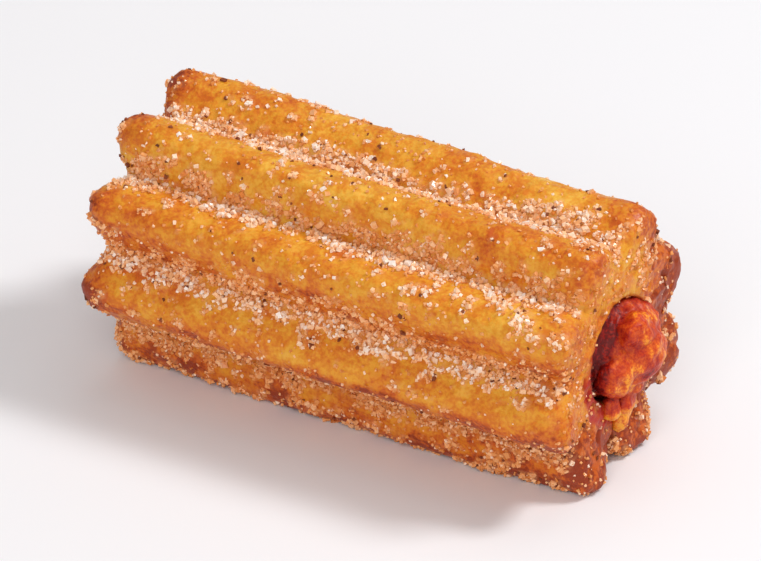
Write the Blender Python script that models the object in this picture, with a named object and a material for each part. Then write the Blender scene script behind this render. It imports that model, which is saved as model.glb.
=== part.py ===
"""A short filled churro: a ridged tube of fried dough round a core of soft filling.

Metres, +Z up. The churro lies along X on the plane z = 0, and the origin is under its middle.
Round the long axis, angles run from straight up towards -Y, so 90 degrees is the -Y side.
"""

import math

import bmesh
import bpy
from mathutils import Vector

# Each piped ridge, at the -X and the +X end: its angle in degrees, how far its tip is from the axis,
# and how far it reaches past the mean length.
RIDGES = (
    ((-22.5, -22.5), (0.0136, 0.0127), (0.0009, -0.0001)),
    ((22.5, 22.5), (0.0125, 0.0123), (0.0012, 0.0000)),
    ((58.5, 62.5), (0.0128, 0.0127), (0.0010, 0.0005)),
    ((100.5, 104.0), (0.0128, 0.0128), (0.0009, 0.0009)),
    ((148.5, 148.5), (0.0131, 0.0133), (0.0001, 0.0011)),
    ((194.0, 194.0), (0.0122, 0.0120), (0.0002, 0.0008)),
    ((241.0, 241.0), (0.0125, 0.0122), (0.0004, 0.0004)),
    ((289.0, 289.0), (0.0126, 0.0120), (0.0005, -0.0001)),
)
DOUGH_LENGTH = 0.0475
VALLEY_RADIUS = 0.0096
RIDGE_ROUNDNESS = 1.2  # 1 is a plain cosine bump, and more makes the ridges narrower
AXIS_HEIGHT = 0.01125  # the ridges that reach lower than this below the axis rest on flats

VALLEY_SETBACK = {-1: 0.0008, 1: 0.0006}  # how far the valleys stop short of the mean length
RIM_RADIUS = {-1: 0.0018, 1: 0.0011}
RIM_STEPS = 5
FACE_RADIUS = 0.0072  # the cut faces are flat inside this, and rise to the ridges' ends outside it

BORE_RADIUS = 0.0048
FILLING_GAP = 0.0003
FILLING_BULGE = {-1: 0.0009, 1: 0.0021}  # how far the filling's domed ends stand out of the cuts
DOME_DEPTH = {-1: 0.0022, 1: 0.0034}
DOME_STEPS = 6

RIDGE_WANDER = math.radians(1.6)  # how far a ridge strays sideways along its length
TIP_WANDER = 0.00014  # and up and down

POINTS_PER_RIDGE = 12
DOUGH_POINTS = POINTS_PER_RIDGE * len(RIDGES)
DOUGH_STATIONS = 23
FILLING_POINTS = 40
CUTTER_MARGIN = 0.01


def wave(place, ridge, turns):
    """A slow, uneven swing between -1 and 1 along the churro, different for each ridge."""
    return math.sin(turns * math.pi * place + 1.9 * ridge) * math.cos(0.8 * place + 0.7 * ridge)


def ridge_at(index, place):
    """The angle and tip radius of a ridge, from place -1 at the -X end to 1 at the +X end."""
    ridge = index % len(RIDGES)
    angles, tips, _ = RIDGES[ridge]
    share = (place + 1) / 2
    degrees = angles[0] + (angles[1] - angles[0]) * share + 360 * (index // len(RIDGES))
    angle = math.radians(degrees) + RIDGE_WANDER * wave(place, ridge, 1.1)
    tip = tips[0] + (tips[1] - tips[0]) * share
    return angle, tip + TIP_WANDER * wave(place, ridge, 2.3)


def section_outline(place):
    """The dough's cross-section as (angle, radius, height, ridge) points. Height is 1 on a crest."""
    outline = []
    for index in range(len(RIDGES)):
        before, _ = ridge_at(index - 1, place)
        angle, tip = ridge_at(index, place)
        after, _ = ridge_at(index + 1, place)
        start, end = (before + angle) / 2, (angle + after) / 2
        for step in range(POINTS_PER_RIDGE):
            at = start + (end - start) * step / POINTS_PER_RIDGE
            side = (at - angle) / (end - angle if at > angle else angle - start)
            height = max(0.0, math.cos(math.pi * side / 2)) ** RIDGE_ROUNDNESS
            outline.append((at, VALLEY_RADIUS + (tip - VALLEY_RADIUS) * height, height, index))
    return outline


def around_axis(x, angle, radius):
    """The point at this angle and distance from the churro's axis."""
    return Vector((x, -radius * math.sin(angle), AXIS_HEIGHT + radius * math.cos(angle)))


def end_x(side, height, ridge=None):
    """Where the dough ends along X: furthest out on a ridge's crest, and furthest back in a valley."""
    reach = 0.0 if ridge is None else RIDGES[ridge][2][0 if side < 0 else 1]
    return side * (DOUGH_LENGTH / 2 + reach * height - VALLEY_SETBACK[side] * (1 - height))


def loft(name, rings, collection):
    """A closed solid through rings of the same number of points, with a flat cap on each end."""
    bm = bmesh.new()
    loops = [[bm.verts.new(point) for point in ring] for ring in rings]
    for ring, following in zip(loops, loops[1:]):
        for i, corner in enumerate(ring):
            j = (i + 1) % len(ring)
            bm.faces.new((corner, ring[j], following[j], following[i]))
    bm.faces.new(loops[0])
    bm.faces.new(loops[-1])
    bmesh.ops.recalc_face_normals(bm, faces=bm.faces)
    mesh = bpy.data.meshes.new(name)
    bm.to_mesh(mesh)
    bm.free()
    obj = bpy.data.objects.new(name, mesh)
    collection.objects.link(obj)
    return obj


def side_ring(share):
    """The section at this share of the way from the -X rim to the +X rim."""
    ring = []
    for angle, radius, height, ridge in section_outline(2 * share - 1):
        start = end_x(-1, height, ridge) + RIM_RADIUS[-1]
        end = end_x(1, height, ridge) - RIM_RADIUS[1]
        ring.append(around_axis(start + (end - start) * share, angle, radius))
    return ring


def end_rings(side):
    """The rings round the rim at one end, and one where the flat middle of the cut starts."""
    rings = []
    rim = RIM_RADIUS[side]
    outline = section_outline(side)
    for step in range(1, RIM_STEPS + 1):
        turn = math.pi / 2 * step / RIM_STEPS
        back, inward = rim * (1 - math.sin(turn)), rim * (1 - math.cos(turn))
        rings.append(
            [
                around_axis(end_x(side, height, ridge) - side * back, angle, radius - inward)
                for angle, radius, height, ridge in outline
            ]
        )
    return rings + [[around_axis(end_x(side, 0.5), angle, FACE_RADIUS) for angle, *_ in outline]]


def make_dough(collection):
    """The ridged tube, before the bore is cut."""
    sides = [side_ring(i / (DOUGH_STATIONS - 1)) for i in range(DOUGH_STATIONS)]
    return loft("dough", end_rings(-1)[::-1] + sides + end_rings(1), collection)


def dome_rings(side):
    """The rings of one domed end of the filling, from its small crown to the full width of the core."""
    rings = []
    angles = [2 * math.pi * i / FILLING_POINTS for i in range(FILLING_POINTS)]
    for step in range(1, DOME_STEPS + 1):
        turn = math.pi / 2 * step / DOME_STEPS
        radius = (BORE_RADIUS - FILLING_GAP) * math.sin(turn)
        out = FILLING_BULGE[side] - DOME_DEPTH[side] * (1 - math.cos(turn))
        rings.append([around_axis(side * (DOUGH_LENGTH / 2 + out), a, radius) for a in angles])
    return rings


def make_filling(collection):
    """The core, which runs right through the dough."""
    return loft("filling", dome_rings(-1) + dome_rings(1)[::-1], collection)


def make_bore_cutter(collection):
    bpy.ops.mesh.primitive_cylinder_add(
        vertices=FILLING_POINTS,
        radius=BORE_RADIUS,
        depth=DOUGH_LENGTH + 2 * CUTTER_MARGIN,
        location=(0, 0, AXIS_HEIGHT),
        rotation=(0, math.pi / 2, 0),
    )
    return as_cutter(bpy.context.object, "bore_cutter", collection)


def make_rest_cutter(collection):
    """A slab below z = 0, which leaves the two lowest ridges with flats to rest on."""
    bpy.ops.mesh.primitive_cube_add(size=1, location=(0, 0, -CUTTER_MARGIN / 2))
    slab = bpy.context.object
    slab.dimensions = (DOUGH_LENGTH + 2 * CUTTER_MARGIN, 4 * VALLEY_RADIUS, CUTTER_MARGIN)
    bpy.ops.object.transform_apply(location=False, rotation=False, scale=True)
    return as_cutter(slab, "rest_cutter", collection)


def as_cutter(obj, name, collection):
    obj.name = name
    obj.hide_render = True
    obj.display_type = "WIRE"
    for holder in list(obj.users_collection):
        holder.objects.unlink(obj)
    collection.objects.link(obj)
    return obj


def cut(obj, cutter):
    modifier = obj.modifiers.new(cutter.name, "BOOLEAN")
    modifier.operation = "DIFFERENCE"
    modifier.object = cutter


def make_material(name, colour, roughness, subsurface):
    material = bpy.data.materials.new(name)
    material.use_nodes = True
    shader = material.node_tree.nodes["Principled BSDF"]
    shader.inputs["Base Color"].default_value = (*colour, 1.0)
    shader.inputs["Roughness"].default_value = roughness
    shader.inputs["Metallic"].default_value = 0.0
    shader.inputs["Subsurface Weight"].default_value = subsurface
    shader.inputs["Subsurface Scale"].default_value = 0.001
    return material


def finish(obj, material):
    obj.data.materials.append(material)
    obj.data.shade_smooth()
    obj.data.set_sharp_from_angle(angle=math.radians(50))


def stand_on_origin(pieces):
    """Slides the pieces along X and Y until the middle of their shared box is over the origin."""
    bpy.context.view_layer.update()
    graph = bpy.context.evaluated_depsgraph_get()
    corners = [
        obj.matrix_world @ Vector(corner)
        for obj in pieces
        for corner in obj.evaluated_get(graph).bound_box
    ]
    for axis in (0, 1):
        middle = (min(c[axis] for c in corners) + max(c[axis] for c in corners)) / 2
        for obj in bpy.data.objects:
            obj.location[axis] -= middle


def clear_scene():
    for obj in list(bpy.data.objects):
        bpy.data.objects.remove(obj)


def new_collection(name):
    collection = bpy.data.collections.new(name)
    bpy.context.scene.collection.children.link(collection)
    return collection


def main():
    clear_scene()
    churro = new_collection("churro")
    cutters = new_collection("cutters")
    dough = make_dough(churro)
    filling = make_filling(churro)
    cut(dough, make_bore_cutter(cutters))
    cut(dough, make_rest_cutter(cutters))
    finish(dough, make_material("fried_dough", (0.70, 0.30, 0.06), 0.45, 0.2))
    finish(filling, make_material("fruit_filling", (0.72, 0.10, 0.02), 0.3, 0.3))
    stand_on_origin([dough, filling])


main()
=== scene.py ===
"""A filled churro in cinnamon sugar: its looks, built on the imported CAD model.

The CAD dough and filling are measured with rays and made again as fine meshes. Grains of sugar and
cinnamon are then laid on the new surface. Metres throughout. Round the long axis, angles run from
straight up towards -Y, as they do in the CAD model.
"""

import math

import bmesh
import bpy
import numpy as np
from mathutils import Matrix, Vector, noise
from mathutils.bvhtree import BVHTree


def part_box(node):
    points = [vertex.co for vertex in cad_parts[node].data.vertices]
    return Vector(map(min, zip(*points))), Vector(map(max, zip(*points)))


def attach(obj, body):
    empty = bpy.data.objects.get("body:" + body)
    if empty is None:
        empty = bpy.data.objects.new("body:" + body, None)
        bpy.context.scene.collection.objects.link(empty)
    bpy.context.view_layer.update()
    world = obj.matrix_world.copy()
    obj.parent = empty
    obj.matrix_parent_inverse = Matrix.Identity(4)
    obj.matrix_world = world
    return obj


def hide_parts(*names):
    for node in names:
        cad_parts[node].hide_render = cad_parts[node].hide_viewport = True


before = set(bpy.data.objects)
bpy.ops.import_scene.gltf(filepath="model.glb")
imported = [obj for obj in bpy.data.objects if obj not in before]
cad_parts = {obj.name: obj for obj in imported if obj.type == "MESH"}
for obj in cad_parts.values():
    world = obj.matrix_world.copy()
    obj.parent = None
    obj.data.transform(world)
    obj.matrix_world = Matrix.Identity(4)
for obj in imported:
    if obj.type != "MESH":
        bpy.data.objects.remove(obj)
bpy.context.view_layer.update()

SEED = 7

# The dough's fine mesh.
COLUMNS = 320
SIDE_RINGS = 190
FACE_RINGS = 22
CORNER_RINGS = 7
CORNER_RADIUS = 0.0022
NEAR_END = 0.8  # as a share of the half length: from here on, the churro is near its end
WALL_RADIUS = 0.0072  # between the bore and the valleys, so a ray from here meets each skin
BORE_LIP = 0.00012  # how far outside the bore the first ring of a cut face is
SUGAR_CRUST = 0.00006  # how thick the sugar's dust is
# How deep inside each cut face the rings of the bore lie.
BORE_DEPTHS = (0.00015, 0.0004, 0.0007, 0.0011, 0.0016, 0.0023, 0.0035, 0.006, 0.012)
MOUTH_RINGS = len(BORE_DEPTHS) + FACE_RINGS + CORNER_RINGS

# The camera.
AZIMUTH = 30.0
ELEVATION = 31.0
DISTANCE = 0.70
VIEW_WIDTH = 0.0670
AIM = (-0.0008, 0.0, 0.0113)

# The mouth at the +X end. On one side the filling has come away from the dough, and sunk.
STAIN_ANGLE = math.radians(150.0)  # where the filling has stained the cut most
GAP_ANGLE = math.radians(70.0)
GAP_WIDTH = 0.0013  # how far the dough is torn outwards, and the filling drawn the other way
GAP_DEPTH = 0.003
GAP_SINK = 0.0010
GAP_RAGGED = 0.9  # how unevenly the gap's edge is torn
GAP_FADE = (0.0055, 0.0080)  # the distances from the axis between which the tearing dies out

# Each kind of grain: how many there are, and how large.
CRYSTALS = {"count": 16400, "mean": 0.00031, "spread": 0.00008, "smallest": 0.00017, "largest": 0.00052}
FINE_SUGAR = {"count": 16400, "mean": 0.00021, "spread": 0.00005, "smallest": 0.00011, "largest": 0.00034}
CINNAMON = {"count": 750, "mean": 0.00024, "spread": 0.00007, "smallest": 0.00012, "largest": 0.00040}
LOWEST_GRAIN = 0.00002

FLOOR_HEIGHT = -0.00005  # just under the churro's flats, so that the two don't share a plane


def colour(red, green, blue):
    """A display colour of 0 to 255 as the linear colour that Blender's shaders take."""
    channels = [c / 255 for c in (red, green, blue)]
    linear = [c / 12.92 if c <= 0.04045 else ((c + 0.055) / 1.055) ** 2.4 for c in channels]
    return (*linear, 1.0)


# ---------------------------------------------------------------- noise


def noise_at(points, size, shift=0.0):
    """Smooth noise, mostly between -0.7 and 0.7, in bumps about this size across."""
    scaled = np.asarray(points) / size + shift
    return np.array([noise.noise(p) for p in scaled.tolist()])


def cells_at(points, size, shift=0.0):
    """How far each point is from the nearest of some scattered centres, in units of size."""
    scaled = np.asarray(points) / size + shift
    return np.array([noise.voronoi(p)[0][0] for p in scaled.tolist()])


def smoothstep(low, high, values):
    """0 at low, 1 at high and smooth in between. Low can be the larger of the two."""
    share = np.clip((values - low) / (high - low), 0.0, 1.0)
    return share * share * (3 - 2 * share)


# ---------------------------------------------------------------- meshes


def new_object(name, vertices, faces, material, smooth=True):
    mesh = bpy.data.meshes.new(name)
    mesh.from_pydata(vertices.tolist(), [], faces.tolist())
    mesh.polygons.foreach_set("use_smooth", [smooth] * len(mesh.polygons))
    mesh.materials.append(material)
    mesh.update()
    obj = bpy.data.objects.new(name, mesh)
    bpy.context.scene.collection.objects.link(obj)
    return obj


def set_attribute(obj, name, values):
    """Stores one number per vertex for the material to read."""
    attribute = obj.data.attributes.new(name, "FLOAT", "POINT")
    attribute.data.foreach_set("value", np.asarray(values, dtype=np.float32).ravel())


def above_floor(grid):
    """The same points, with none below the plane that the churro lies on."""
    return np.maximum(grid, (-np.inf, -np.inf, 0.0))


def torus_faces(rings, columns):
    """Quads over a grid of points that closes on itself both ways."""
    ring, column = np.meshgrid(np.arange(rings), np.arange(columns), indexing="ij")
    next_ring, next_column = (ring + 1) % rings, (column + 1) % columns
    corners = [
        ring * columns + column,
        next_ring * columns + column,
        next_ring * columns + next_column,
        ring * columns + next_column,
    ]
    return np.stack(corners, axis=-1).reshape(-1, 4)


def grid_normals(grid):
    """Unit normals of a grid of points that closes on itself both ways."""
    along = np.roll(grid, -1, axis=0) - np.roll(grid, 1, axis=0)
    around = np.roll(grid, -1, axis=1) - np.roll(grid, 1, axis=1)
    normals = np.cross(along, around)
    return normals / np.maximum(np.linalg.norm(normals, axis=2, keepdims=True), 1e-12)


def smoothed(grid, axis, passes):
    """A grid of points or values, each moved halfway to its two neighbours' middle."""
    for _ in range(passes):
        middle = (np.roll(grid, 1, axis=axis) + np.roll(grid, -1, axis=axis)) / 2
        grid = (grid + middle) / 2
    return grid


def set_uvs(obj, uvs):
    """Stores one (u, v) per face corner, under the name that the export keeps."""
    layer = obj.data.uv_layers.new(name="OFBake")
    layer.data.foreach_set("uv", np.asarray(uvs, dtype=np.float32).ravel())


# ---------------------------------------------------------------- the dough's shape


class Skin:
    """The CAD dough, measured from inside its wall."""

    def __init__(self):
        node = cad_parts["dough"]
        core_low, core_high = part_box("filling")
        low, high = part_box("dough")
        self.tree = BVHTree.FromObject(node, bpy.context.evaluated_depsgraph_get())
        self.y = (core_low[1] + core_high[1]) / 2
        self.z = (core_low[2] + core_high[2]) / 2
        self.half = (high[0] - low[0]) / 2

    def point(self, angle, x, radius):
        return Vector((x, self.y - radius * math.sin(angle), self.z + radius * math.cos(angle)))

    def hit(self, angle, x, radius, along, outward):
        """Where a ray from inside the wall meets the skin. Below 0, outward runs towards the axis."""
        start = self.point(angle, x, radius)
        direction = self.point(angle, x + along, radius + outward) - start
        found = self.tree.ray_cast(start, direction)[0]
        return found if found is not None else start

    def radius(self, angle, x):
        found = self.hit(angle, x, WALL_RADIUS, 0.0, 1.0)
        return math.hypot(found.y - self.y, found.z - self.z)


def mouth(skin, angle, side):
    """The points from deep in the bore, out over one cut face and round its rim."""
    face_x = skin.hit(angle, side * NEAR_END * skin.half, WALL_RADIUS, side, 0.0).x
    bore = [
        skin.hit(angle, face_x - side * depth, WALL_RADIUS, 0.0, -1.0)
        for depth in reversed(BORE_DEPTHS)
    ]
    bore_radius = math.hypot(bore[0].y - skin.y, bore[0].z - skin.z)
    inside = face_x - side * CORNER_RADIUS
    rim = skin.radius(angle, inside) - CORNER_RADIUS
    face = [
        skin.hit(angle, inside, radius, side, 0.0)
        for radius in np.linspace(bore_radius + BORE_LIP, rim, FACE_RINGS)
    ]
    corner = []
    for turn in np.linspace(0.0, math.pi / 2, CORNER_RINGS + 2)[1:-1]:
        corner.append(skin.hit(angle, inside, rim, side * math.cos(turn), math.sin(turn)))
    return bore + face + corner, inside


def outline(skin, angle):
    """The closed outline of the dough's wall at this angle, from the +X mouth round to the -X one."""
    near, near_inside = mouth(skin, angle, 1)
    far, far_inside = mouth(skin, angle, -1)
    side = [
        skin.hit(angle, x, WALL_RADIUS, 0.0, 1.0)
        for x in np.linspace(near_inside, far_inside, SIDE_RINGS)
    ]
    return near + side + far[::-1]


def column_angles():
    return np.linspace(0.0, 2 * math.pi, COLUMNS, endpoint=False)


def open_mouth(skin, grid):
    """Widens the bore at the +X mouth on the side where the filling has pulled away."""
    offset = grid - np.array([0.0, skin.y, skin.z])
    radii = np.hypot(offset[..., 1], offset[..., 2])
    depth = skin.half - grid[..., 0]
    share = (1 - smoothstep(0.0, GAP_DEPTH, depth)) * (1 - smoothstep(*GAP_FADE, radii))
    angles = column_angles()
    circle = WALL_RADIUS * np.stack([0 * angles, np.sin(angles), np.cos(angles)], axis=-1)
    tears = noise_at(circle, 0.0015, 23.0) + 0.6 * noise_at(circle, 0.0006, 27.0)
    widening = GAP_WIDTH * (1 + GAP_RAGGED * tears) * np.clip(np.cos(angles - GAP_ANGLE), 0.0, 1.0)
    growth = 1 + share * widening / np.maximum(radii, 0.001)
    offset[..., 1:] *= growth[..., None]
    return offset + np.array([0.0, skin.y, skin.z])


def dough_grid(skin):
    columns = [outline(skin, angle) for angle in column_angles()]
    grid = np.array(columns, dtype=float).transpose(1, 0, 2)
    return smoothed(smoothed(grid, 1, 3), 0, 1)


def ring_zones():
    """For each ring of the dough: 1 on the side, 1 on a cut face, and 1 in the bore."""
    rings = 2 * MOUTH_RINGS + SIDE_RINGS
    side, face, bore = np.zeros(rings), np.zeros(rings), np.zeros(rings)
    first = len(BORE_DEPTHS)
    side[MOUTH_RINGS - CORNER_RINGS // 2 : rings - MOUTH_RINGS + CORNER_RINGS // 2] = 1
    bore[:first] = bore[rings - first :] = 1
    face[:] = 1 - side - bore
    return [smoothed(zone, 0, 3) for zone in (side, face, bore)]


def ridge_height(skin, grid):
    """0 in the valleys and 1 on the crests of the ridges, on the side and the cut faces."""
    radii = np.hypot(grid[..., 1] - skin.y, grid[..., 2] - skin.z)
    middle = radii[len(radii) // 2]
    low, high = middle.min(), np.percentile(middle, 88)
    return np.clip((radii - low) / (high - low), 0.0, 1.0)


def relief(points, side, face):
    """How far each point of the dough stands out from the CAD surface."""
    stretched = points * np.array([0.3, 1.0, 1.0])
    lumps = 0.00016 * noise_at(points, 0.0050) + 0.00011 * noise_at(points, 0.0017, 5.0)
    wrinkles = 0.00009 * noise_at(stretched, 0.0008, 9.0) + 0.00006 * noise_at(points, 0.0007, 13.0)
    blisters = 0.00022 * (1 - smoothstep(0.0, 0.42, cells_at(points, 0.0021, 3.0)))
    blisters *= smoothstep(0.05, 0.35, noise_at(points, 0.0045, 21.0))
    torn = 0.00024 * noise_at(points, 0.0018, 31.0) + 0.00014 * noise_at(points, 0.0007, 37.0)
    pits = 0.00030 * smoothstep(0.15, 0.50, noise_at(points, 0.0011, 41.0))
    return (lumps + wrinkles + blisters) * (0.35 + 0.65 * side) + (torn - pits) * face


def rough_skin(skin, grid, side, face, bore):
    """The dough's points with its lumps, wrinkles and tears, and with its mouth torn open."""
    rise = relief(grid.reshape(-1, 3), side, face) * (1 - bore)
    grid = grid + grid_normals(grid) * rise.reshape(*grid.shape[:2], 1)
    return above_floor(open_mouth(skin, grid))


def dough_uvs(rings):
    """Columns across and rings up, one face after another as torus_faces lists them."""
    ring, column = np.meshgrid(np.arange(rings), np.arange(COLUMNS), indexing="ij")
    corners = [(column, ring), (column, ring + 1), (column + 1, ring + 1), (column + 1, ring)]
    uvs = [np.stack((u / COLUMNS, v / rings), axis=-1) for u, v in corners]
    return np.stack(uvs, axis=2)


def make_dough(skin, material):
    """The dough with its fine surface, and what the grains need to know about it."""
    side, face, bore = (np.repeat(zone, COLUMNS) for zone in ring_zones())
    plain = dough_grid(skin)
    height = ridge_height(skin, plain).ravel()
    grid = rough_skin(skin, plain, side, face, bore)
    rings, columns = grid.shape[:2]
    facing_up = grid_normals(grid)[..., 2].ravel()
    cover = sugar_cover(grid.reshape(-1, 3), facing_up, height, side, face, bore)
    sugar = clump(grid.reshape(-1, 3), cover)
    grid = above_floor(grid + grid_normals(grid) * (SUGAR_CRUST * sugar).reshape(rings, columns, 1))
    points = grid.reshape(-1, 3)
    dough = new_object("fried_dough", points, torus_faces(rings, columns), material)
    set_uvs(dough, dough_uvs(rings))
    set_attribute(dough, "bore", bore)
    set_attribute(dough, "sugar", sugar)
    set_attribute(dough, "browning_and_shade", browning_and_shade(skin, points, facing_up, height, face))
    set_attribute(dough, "stain", jam_stain(skin, points, np.tile(column_angles(), rings), bore))
    dress(dough, "fried_dough", "dough")
    return {
        "points": grid,
        "normals": grid_normals(grid),
        "sugar": sugar.reshape(rings, columns),
        "cover": cover.reshape(rings, columns),
    }


def sugar_cover(points, facing_up, height, side, face, bore):
    """How much sugar each part of the dough holds: most in the valleys that face up."""
    patches = noise_at(points, 0.0060, 51.0) + 0.6 * noise_at(points, 0.0025, 57.0)
    valley = 1 - smoothstep(0.20, 0.72, height + 0.30 * patches)
    ridge = 0.15 + 0.40 * smoothstep(0.05, 0.55, patches)
    low = smoothstep(0.00728, 0.00056, points[:, 2])
    cover = ridge + (0.86 - ridge) * valley + 0.25 * low + 0.20 * valley * smoothstep(0.5, 0.9, facing_up)
    cover = side * cover + face * (0.22 + 0.25 * smoothstep(0.1, 0.6, patches))
    return np.clip(cover * (1 - bore), 0.0, 1.0)


def clump(points, cover):
    """Gathers the sugar into ragged clumps with bare dough between them, fewer where cover is low."""
    ragged = noise_at(points, 0.0013, 61.0) + 0.6 * noise_at(points, 0.0006, 67.0)
    return smoothstep(-0.02, 0.20, ragged + 1.10 * (cover - 0.58)) * smoothstep(0.0, 0.12, cover)


def browning_and_shade(skin, points, facing_up, height, face):
    """How browned and shaded the crust is: fried most round the -X cut and darker low down, with painted
    shade where it faces down and on the +X end's far side, and partly painted shade low on the cut faces.
    """
    from_end = skin.half - np.abs(points[:, 0])
    rim = (1 - smoothstep(0.0, 0.0045, from_end)) * smoothstep(0.35, 0.9, height)
    low = smoothstep(0.012, 0.001, points[:, 2])
    patches = noise_at(points, 0.0070, 71.0) + 0.5 * noise_at(points, 0.0024, 77.0)
    brown_and_shade = 0.40 + 0.38 * rim * (points[:, 0] < 0) + 0.22 * low + 0.30 * patches
    # Painted shade: darker where the dough faces down.
    brown_and_shade += 0.30 * smoothstep(0.15, -0.5, facing_up) * (1 - face)
    # Painted shadow: the +X end's far side is darker, as in the shadow of a churro beside it.
    far = smoothstep(0.002, 0.009, points[:, 1]) * (points[:, 0] > NEAR_END * skin.half)
    # Low on the cut faces, the darkening is partly frying and partly painted shade.
    return np.clip(brown_and_shade + face * (0.50 * low + 0.06) + 0.55 * far, 0.0, 1.0)


def jam_stain(skin, points, angles, bore):
    """Where filling has stained the dough: in the bore, and on the cuts round it, mostly below."""
    radii = np.hypot(points[:, 1] - skin.y, points[:, 2] - skin.z)
    towards = (0.5 + 0.5 * np.cos(angles - STAIN_ANGLE)) ** 2
    reach = 0.0048 + 0.0021 * towards + 0.0008 * noise_at(points, 0.0018, 91.0)
    stained = np.maximum(1 - smoothstep(-0.0003, 0.0004, radii - reach), bore)
    return stained * (np.abs(points[:, 0]) > 0.6 * skin.half)


def dress(obj, slot, *nodes):
    """The piece takes its place on the model: its body, and the CAD nodes it stands for. The slot is not
    used.
    """
    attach(obj, "root")
    if nodes:
        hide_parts(*nodes)


# ---------------------------------------------------------------- the filling


VOXEL = 0.00018
STRANDS = (1.0, 1.0, 0.45)  # draws the paste's texture out up and down
# Blobs of paste on the +X end: the angle and radius of the middle, how far it stands out of the cut,
# and the half-sizes along X, round the axis and outwards.
BLOBS = (
    (250.0, 0.0016, 0.0012, (0.0018, 0.0024, 0.0026)),
    (340.0, 0.0020, 0.0010, (0.0015, 0.0020, 0.0018)),
    (150.0, 0.0018, 0.0001, (0.0016, 0.0022, 0.0023)),
    (180.0, 0.0050, 0.0003, (0.0008, 0.0010, 0.0017)),
    (176.0, 0.0064, 0.0002, (0.0006, 0.0006, 0.0013)),
    (158.0, 0.0050, 0.0001, (0.0006, 0.0007, 0.0012)),
)


def towards_gap(skin, points):
    """How far points are from the axis towards the gap."""
    up, across = points[..., 2] - skin.z, skin.y - points[..., 1]
    return up * math.cos(GAP_ANGLE) + across * math.sin(GAP_ANGLE)


def add_blob(bm, skin, face_x, blob):
    degrees, radius, out, (along, across, outward) = blob
    angle = math.radians(degrees)
    turn = Matrix.Rotation(angle, 4, "X")
    place = Matrix.Translation(skin.point(angle, face_x + out, radius))
    size = Matrix.Diagonal((along, across, outward, 1.0))
    bmesh.ops.create_icosphere(bm, subdivisions=3, radius=1.0, matrix=place @ turn @ size)


def paste_shape(skin, face_x):
    """The CAD core with its +X end drawn away from the gap, and blobs of paste on that end."""
    bm = bmesh.new()
    bm.from_mesh(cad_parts["filling"].data)
    bmesh.ops.subdivide_edges(bm, edges=bm.edges, cuts=1, use_grid_fill=True)
    aside = skin.point(GAP_ANGLE + math.pi, 0.0, GAP_WIDTH) - skin.point(0.0, 0.0, 0.0)
    for vertex in bm.verts:
        share = min(1.0, max(0.0, (vertex.co.x - face_x + GAP_DEPTH) / GAP_DEPTH))
        facing = smoothstep(0.0, 0.004, towards_gap(skin, np.array(vertex.co)))
        vertex.co.x -= GAP_SINK * share * facing
        vertex.co += aside * share
    for blob in BLOBS:
        add_blob(bm, skin, face_x, blob)
    mesh = bpy.data.meshes.new("paste")
    bm.to_mesh(mesh)
    bm.free()
    return mesh


def remeshed(mesh, voxel, smoothing):
    """The mesh as one even skin, as Blender's voxel remesh makes it. The object isn't kept."""
    obj = bpy.data.objects.new("remesh", mesh)
    bpy.context.scene.collection.objects.link(obj)
    remesh = obj.modifiers.new("remesh", "REMESH")
    remesh.mode = "VOXEL"
    remesh.voxel_size = voxel
    smooth = obj.modifiers.new("smooth", "SMOOTH")
    smooth.iterations = smoothing
    evaluated = obj.evaluated_get(bpy.context.evaluated_depsgraph_get())
    result = bpy.data.meshes.new_from_object(evaluated)
    bpy.data.objects.remove(obj)
    return result


def mesh_arrays(mesh):
    points = np.empty(len(mesh.vertices) * 3)
    normals = np.empty(len(mesh.vertices) * 3)
    mesh.vertices.foreach_get("co", points)
    mesh.vertices.foreach_get("normal", normals)
    return points.reshape(-1, 3), normals.reshape(-1, 3)


def make_filling(skin, material):
    """The paste, with its lumps. It lies in the bore and stands out of the +X end."""
    face_x = skin.hit(GAP_ANGLE, NEAR_END * skin.half, WALL_RADIUS, 1.0, 0.0).x
    mesh = remeshed(paste_shape(skin, face_x), VOXEL, 3)
    points, normals = mesh_arrays(mesh)
    lumps = 0.00030 * noise_at(points, 0.0019, 81.0) + 0.00028 * noise_at(points, 0.0009, 85.0)
    rise = 0.00025 + lumps + 0.00012 * noise_at(points * np.array(STRANDS), 0.0005, 89.0)
    points = points + normals * rise[:, None]
    mesh.vertices.foreach_set("co", points.ravel())
    mesh.polygons.foreach_set("use_smooth", [True] * len(mesh.polygons))
    mesh.materials.clear()
    mesh.materials.append(material)
    mesh.update()
    obj = bpy.data.objects.new("fruit_filling", mesh)
    bpy.context.scene.collection.objects.link(obj)
    set_attribute(obj, "redness_and_shade", paste_redness_and_shade(skin, points, face_x, rise))
    dress(obj, "fruit_filling", "filling")


def paste_redness_and_shade(skin, points, face_x, rise):
    """How red and shaded the paste is: painted shade makes it deep red inside the mouth, in its creases
    and by the gap; it is also redder low down, red in patches, and orange where it stands out and where
    it drips.
    """
    # Painted shade: deeper red inside the mouth.
    inside = smoothstep(0.0012, -0.0006, points[:, 0] - face_x)
    # Painted shade: deeper red in the creases between the lumps.
    creases = smoothstep(0.00025, 0.00005, rise)
    below = skin.z - points[:, 2]
    low = smoothstep(0.0, 0.0045, below) * smoothstep(0.0058, 0.0048, below)
    patches = noise_at(points, 0.0020, 95.0)
    # Painted shade: deep red in the cleft by the gap, at and inside the mouth.
    crevice = smoothstep(0.0014, 0.0030, towards_gap(skin, points))
    crevice *= smoothstep(0.0010, 0.0, points[:, 0] - face_x)
    drip = smoothstep(0.0048, 0.0054, below)
    red = 0.36 + 0.35 * inside + 0.15 * creases + 0.15 * low + 0.45 * patches + 0.55 * crevice
    return np.clip(red * (1 - drip) + 0.08 * drip, 0.0, 1.0)


# ---------------------------------------------------------------- grains


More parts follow.
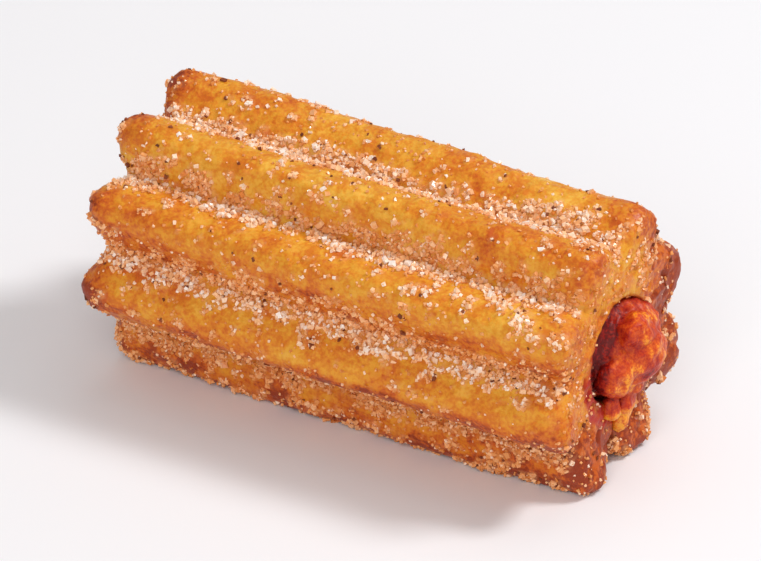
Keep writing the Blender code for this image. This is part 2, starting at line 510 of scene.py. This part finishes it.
CUBE = np.array([(x, y, z) for x in (-1, 1) for y in (-1, 1) for z in (-1, 1)]) / 2
CUBE_FACES = np.array(
    [(0, 1, 3, 2), (4, 6, 7, 5), (0, 4, 5, 1), (2, 3, 7, 6), (0, 2, 6, 4), (1, 5, 7, 3)],
)
GRAIN_SIDES = np.array([1.0, 0.85, 0.7])


def random_turns(rng, count):
    """Rotation matrices that turn evenly in every direction."""
    quaternions = rng.normal(size=(count, 4))
    w, x, y, z = (quaternions / np.linalg.norm(quaternions, axis=1, keepdims=True)).T
    rows = [
        (1 - 2 * (y * y + z * z), 2 * (x * y - w * z), 2 * (x * z + w * y)),
        (2 * (x * y + w * z), 1 - 2 * (x * x + z * z), 2 * (y * z - w * x)),
        (2 * (x * z - w * y), 2 * (y * z + w * x), 1 - 2 * (x * x + y * y)),
    ]
    return np.stack([np.stack(row, axis=-1) for row in rows], axis=1)


def scatter(surface, rng, count, weights):
    """Points on the dough, more of them where the weights are high, and the normals there."""
    grid, normals = surface["points"], surface["normals"]
    along = np.linalg.norm(np.roll(grid, -1, axis=0) - grid, axis=2)
    around = np.linalg.norm(np.roll(grid, -1, axis=1) - grid, axis=2)
    chance = (weights * along * around).ravel()
    chosen = rng.choice(chance.size, size=count, p=chance / chance.sum())
    ring, column = np.unravel_index(chosen, weights.shape)
    next_ring, next_column = (ring + 1) % grid.shape[0], (column + 1) % grid.shape[1]
    down, across = rng.random((2, count, 1))
    near = grid[ring, column] * (1 - across) + grid[ring, next_column] * across
    far = grid[next_ring, column] * (1 - across) + grid[next_ring, next_column] * across
    return near * (1 - down) + far * down, normals[ring, column], weights[ring, column]


def grain_sizes(rng, kind):
    sizes = rng.normal(kind["mean"], kind["spread"], kind["count"])
    return np.clip(sizes, kind["smallest"], kind["largest"])


def make_grains(name, places, sizes, tints, rng, material):
    """Chipped little blocks, one at each place, each turned its own way."""
    count = len(places)
    shapes = GRAIN_SIDES * (1 + 0.18 * rng.normal(size=(count, 1, 3)))
    corners = CUBE * shapes + 0.10 * rng.normal(size=(count, 8, 3))
    corners = np.einsum("nij,nkj->nki", random_turns(rng, count), corners * sizes[:, None, None])
    points = corners + places[:, None, :]
    points[..., 2] = np.maximum(points[..., 2], LOWEST_GRAIN)
    faces = (CUBE_FACES[None] + 8 * np.arange(count)[:, None, None]).reshape(-1, 4)
    obj = new_object(name, points.reshape(-1, 3), faces, material, smooth=False)
    set_attribute(obj, "tint", np.repeat(tints, 8))
    set_uvs(obj, cell_uvs(count))
    dress(obj, "fried_dough")


def cell_uvs(count):
    """A small square of the texture for each grain, shared by its six faces."""
    side = math.ceil(math.sqrt(count))
    index = np.arange(count)
    low = np.stack([index % side, index // side], axis=-1) / side
    square = np.array([(0.2, 0.2), (0.8, 0.2), (0.8, 0.8), (0.2, 0.8)]) / side
    return np.repeat((low[:, None, :] + square[None])[:, None], 6, axis=1)


def make_crystals(surface, rng, material):
    """Coarse sugar, heaped where it lies thick, and with painted light making it palest where it faces
    up.
    """
    count = CRYSTALS["count"]
    weights = surface["sugar"] * (0.35 + 0.65 * surface["cover"])
    places, normals, local = scatter(surface, rng, count, weights)
    sizes = grain_sizes(rng, CRYSTALS)
    lift = sizes * rng.uniform(-0.25, 0.15, count) + 0.0003 * rng.random(count) ** 2 * local**3
    places = places + normals * lift[:, None]
    # Painted light: grains that face up get paler tints, as if lit from above.
    tints = 0.62 * rng.random(count) + 0.38 * smoothstep(0.1, 0.85, normals[:, 2])
    make_grains("sugar_crystals", places, sizes, tints, rng, material)


def make_fine_sugar(surface, rng, material):
    """Small and broken crystals, with some on the bare dough too."""
    count = FINE_SUGAR["count"]
    places, normals, _ = scatter(surface, rng, count, 0.11 + surface["sugar"])
    sizes = grain_sizes(rng, FINE_SUGAR)
    places = places + normals * (sizes * rng.uniform(-0.2, 0.25, count))[:, None]
    make_grains("sugar_fine", places, sizes, rng.random(count), rng, material)


def make_cinnamon(surface, rng, material):
    count = CINNAMON["count"]
    places, normals, _ = scatter(surface, rng, count, 0.20 + surface["sugar"])
    sizes = grain_sizes(rng, CINNAMON)
    places = places + normals * (sizes * 0.1)[:, None]
    make_grains("cinnamon_specks", places, sizes, rng.random(count), rng, material)


# ---------------------------------------------------------------- materials


class Shader:
    """A new material's nodes, with short names for the few kinds used here."""

    def __init__(self, name):
        self.material = bpy.data.materials.new(name)
        self.material.use_nodes = True
        self.tree = self.material.node_tree
        self.principled = self.tree.nodes["Principled BSDF"]

    def node(self, kind, **properties):
        node = self.tree.nodes.new(kind)
        for key, value in properties.items():
            setattr(node, key, value)
        return node

    def link(self, output, node, socket):
        """Feeds a socket with another node's output, or with a constant."""
        if isinstance(output, bpy.types.NodeSocket):
            self.tree.links.new(output, node.inputs[socket])
        else:
            node.inputs[socket].default_value = output

    def attribute(self, name):
        return self.node("ShaderNodeAttribute", attribute_name=name).outputs["Fac"]

    def noise(self, size, detail=3.0, stretch=(1.0, 1.0, 1.0)):
        """Noise in bumps about this size across, in the part's own coordinates."""
        place = self.node("ShaderNodeTexCoord").outputs["Object"]
        mapping = self.node("ShaderNodeMapping")
        self.link(place, mapping, "Vector")
        mapping.inputs["Scale"].default_value = stretch
        texture = self.node("ShaderNodeTexNoise")
        self.link(mapping.outputs["Vector"], texture, "Vector")
        texture.inputs["Scale"].default_value = 1 / size
        texture.inputs["Detail"].default_value = detail
        return texture.outputs["Fac"]

    def math(self, operation, first, second=0.0, clamp=False):
        node = self.node("ShaderNodeMath", operation=operation, use_clamp=clamp)
        self.link(first, node, 0)
        self.link(second, node, 1)
        return node.outputs["Value"]

    def ramp(self, fac, stops):
        """A colour for each value: stops are (position, display colour)."""
        node = self.node("ShaderNodeValToRGB")
        self.link(fac, node, "Fac")
        elements = node.color_ramp.elements
        while len(elements) < len(stops):
            elements.new(0.5)
        for element, (position, value) in zip(elements, stops):
            element.position = position
            element.color = colour(*value)
        return node.outputs["Color"]

    def mix(self, fac, first, second):
        """A mix of two colours. The node names its sockets alike for each kind, so they go by number."""
        node = self.node("ShaderNodeMix", data_type="RGBA")
        first_colour, second_colour, mixed_colour = 6, 7, 2
        self.link(fac, node, "Factor")
        self.link(first, node, first_colour)
        self.link(second, node, second_colour)
        return node.outputs[mixed_colour]

    def stretch(self, value, low, high, to_low=0.0, to_high=1.0):
        """The value, scaled so that low becomes to_low and high becomes to_high, and held between."""
        node = self.node("ShaderNodeMapRange")
        self.link(value, node, "Value")
        limits = {"From Min": low, "From Max": high, "To Min": to_low, "To Max": to_high}
        for socket, number in limits.items():
            node.inputs[socket].default_value = number
        return node.outputs["Result"]

    def bump(self, height, distance, normal=None):
        """A normal tilted by a height that is this deep, on top of another bump if one is given."""
        node = self.node("ShaderNodeBump")
        self.link(height, node, "Height")
        node.inputs["Distance"].default_value = distance
        if normal is not None:
            self.link(normal, node, "Normal")
        return node.outputs["Normal"]

    def set(self, **sockets):
        """Sets the Principled shader's sockets, whose names are written with underscores."""
        for key, value in sockets.items():
            self.link(value, self.principled, key.replace("_", " "))
        return self.material


# Ramps of display colours: the crust's by how browned and shaded it is, the paste's by how red and
# shaded, the rest by tint.
CRUST = (
    (0.0, (238, 184, 70)),
    (0.3, (227, 154, 40)),
    (0.55, (217, 125, 26)),
    (0.8, (198, 90, 20)),
    (1.0, (150, 54, 14)),
)
PASTE = (
    (0.0, (250, 166, 44)),
    (0.3, (216, 92, 22)),
    (0.6, (188, 54, 14)),
    (0.85, (160, 22, 10)),
    (1.0, (112, 10, 8)),
)
# The sugar's orange and peach tints are partly its coat of cinnamon and oil, and partly painted light:
# the dough's colour seen through the clear crystals.
PALE_SUGAR = (
    (0.0, (222, 134, 60)),
    (0.3, (238, 164, 98)),
    (0.58, (252, 200, 150)),
    (0.8, (255, 226, 198)),
    (1.0, (255, 250, 244)),
)
TAN_SUGAR = (
    (0.0, (220, 134, 58)),
    (0.6, (240, 172, 108)),
    (1.0, (255, 234, 212)),
)
SPICE = (
    (0.0, (104, 38, 14)),
    (1.0, (166, 84, 40)),
)


def dough_material():
    """Mottled crust, browner where it is fried more and darker with painted shade, under a dust of sugar
    and stains of filling, painted darker in the bore as shade.
    """
    shader = Shader("fried_dough")
    middling = shader.math("MULTIPLY", shader.noise(0.0006, 3.0), 0.7)
    fine = shader.math("MULTIPLY", shader.noise(0.0003, 2.0), 0.4)
    mottle = shader.math("ADD", shader.noise(0.0022, 4.0), middling)
    mottle = shader.math("ADD", mottle, fine)
    mottle = shader.stretch(mottle, 0.85, 1.25, -0.21, 0.23)
    # Frying and painted shade darken the crust together, read as one attribute.
    crust = shader.ramp(shader.math("ADD", shader.attribute("browning_and_shade"), mottle, clamp=True), CRUST)
    speckle = shader.stretch(shader.noise(0.0005, 3.0), 0.38, 0.62, 0.35, 1.0)
    dust = shader.math("MULTIPLY", shader.attribute("sugar"), speckle)
    base = shader.mix(shader.math("MULTIPLY", dust, 0.45), crust, colour(234, 172, 116))
    blots = shader.stretch(shader.noise(0.0009, 3.0), 0.25, 0.5, 0.6, 1.0)
    # The filling stains the cuts red; in the bore the stain is painted darker, as shade.
    jam_and_bore_shade = shader.mix(shader.attribute("bore"), colour(176, 34, 12), colour(104, 10, 6))
    base = shader.mix(shader.math("MULTIPLY", shader.attribute("stain"), blots), base, jam_and_bore_shade)
    bump = shader.bump(shader.noise(0.0009, 6.0), 0.00020)
    bump = shader.bump(shader.noise(0.00028, 3.0), 0.00005, normal=bump)
    return shader.set(
        Base_Color=base,
        Roughness=shader.stretch(shader.noise(0.0016, 3.0), 0.35, 0.65, 0.32, 0.55),
        Subsurface_Weight=0.15,
        Subsurface_Radius=(1.0, 0.45, 0.15),
        Subsurface_Scale=0.0008,
        Specular_IOR_Level=0.28,
        Coat_Weight=0.06,
        Coat_Roughness=0.25,
        Normal=bump,
    )


def filling_material():
    shader = Shader("fruit_filling")
    strands = shader.stretch(shader.noise(0.0005, 4.0, STRANDS), 0.35, 0.65, -0.17, 0.17)
    flecks = shader.stretch(shader.noise(0.00022, 2.0), 0.35, 0.65, -0.14, 0.14)
    # The paste's redness holds painted shade inside the mouth, in its creases and by the gap, as well as
    # its own red patches.
    tone = shader.math("ADD", shader.attribute("redness_and_shade"), shader.math("ADD", strands, flecks))
    base = shader.ramp(tone, PASTE)
    bump = shader.bump(shader.noise(0.0005, 5.0, STRANDS), 0.00012)
    bump = shader.bump(shader.noise(0.00022, 3.0), 0.00005, normal=bump)
    return shader.set(
        Base_Color=base,
        Roughness=shader.stretch(shader.noise(0.0006, 2.0), 0.35, 0.65, 0.35, 0.6),
        Subsurface_Weight=0.4,
        Subsurface_Radius=(1.0, 0.3, 0.1),
        Subsurface_Scale=0.0015,
        Specular_IOR_Level=0.3,
        Coat_Weight=0.06,
        Coat_Roughness=0.2,
        Normal=bump,
    )


def sugar_material(name, stops):
    shader = Shader(name)
    base = shader.ramp(shader.attribute("tint"), stops)
    cloud = shader.stretch(shader.noise(0.0002, 1.0), 0.4, 0.6, 0.0, 0.2)
    base = shader.mix(cloud, base, colour(226, 150, 84))
    return shader.set(
        Base_Color=base,
        Roughness=0.28,
        Specular_IOR_Level=0.35,
        Coat_Weight=0.2,
        Coat_Roughness=0.06,
    )


def cinnamon_material():
    shader = Shader("cinnamon")
    base = shader.ramp(shader.attribute("tint"), SPICE)
    base = shader.mix(shader.noise(0.0002, 1.0), base, colour(110, 54, 26))
    return shader.set(Base_Color=base, Roughness=0.8)


# ---------------------------------------------------------------- the studio


def make_floor():
    bpy.ops.mesh.primitive_plane_add(size=3.0, location=(0.0, 0.0, FLOOR_HEIGHT))
    floor = bpy.context.object
    floor.name = "floor"
    shader = Shader("pale_floor")
    shader.set(Base_Color=colour(241, 242, 246), Roughness=0.7, Specular_IOR_Level=0.2)
    floor.data.materials.append(shader.material)


def add_light(name, position, size, power, tint=(1.0, 1.0, 1.0)):
    """A square soft light at this place, facing the churro."""
    data = bpy.data.lights.new(name, "AREA")
    data.shape = "SQUARE"
    data.size = size
    data.energy = power
    data.color = tint
    light = bpy.data.objects.new(name, data)
    light.location = position
    light.rotation_euler = (Vector(AIM) - light.location).to_track_quat("-Z", "Y").to_euler()
    bpy.context.scene.collection.objects.link(light)


def away(azimuth, elevation, distance):
    """A point this far from the churro. Azimuth 0 is the -Y side, and 90 is the +X end."""
    turn, rise = math.radians(azimuth), math.radians(elevation)
    back = (math.sin(turn) * math.cos(rise), -math.cos(turn) * math.cos(rise), math.sin(rise))
    return Vector(AIM) + distance * Vector(back)


def make_lights():
    world = bpy.data.worlds.new("studio")
    world.use_nodes = True
    background = world.node_tree.nodes["Background"]
    background.inputs["Color"].default_value = (1.0, 0.955, 0.925, 1.0)
    background.inputs["Strength"].default_value = 0.42
    bpy.context.scene.world = world
    add_light("key", away(AZIMUTH + 95, 50, 0.6), size=0.14, power=2.0, tint=(1.0, 0.99, 0.98))
    add_light("front", away(AZIMUTH - 10, 38, 0.7), size=0.35, power=1.37)
    add_light("low", away(AZIMUTH - 25, 10, 0.6), size=0.30, power=0.40, tint=(1.0, 0.80, 0.62))
    add_light("top", away(AZIMUTH + 160, 70, 0.7), size=0.40, power=0.5)


def make_camera():
    data = bpy.data.cameras.new("camera")
    data.sensor_width = 36.0
    data.lens = data.sensor_width * DISTANCE / VIEW_WIDTH
    data.clip_start = 0.01
    camera = bpy.data.objects.new("camera", data)
    camera.location = away(AZIMUTH, ELEVATION, DISTANCE)
    camera.rotation_euler = (Vector(AIM) - camera.location).to_track_quat("-Z", "Y").to_euler()
    bpy.context.scene.collection.objects.link(camera)
    bpy.context.scene.camera = camera
    bpy.context.scene.view_settings.view_transform = "Standard"


# ---------------------------------------------------------------- the whole


def main():
    rng = np.random.default_rng(SEED)
    make_camera()
    make_lights()
    make_floor()
    skin = Skin()
    surface = make_dough(skin, dough_material())
    make_filling(skin, filling_material())
    make_crystals(surface, rng, sugar_material("sugar_crystals", PALE_SUGAR))
    make_fine_sugar(surface, rng, sugar_material("sugar_fine", TAN_SUGAR))
    make_cinnamon(surface, rng, cinnamon_material())


main()
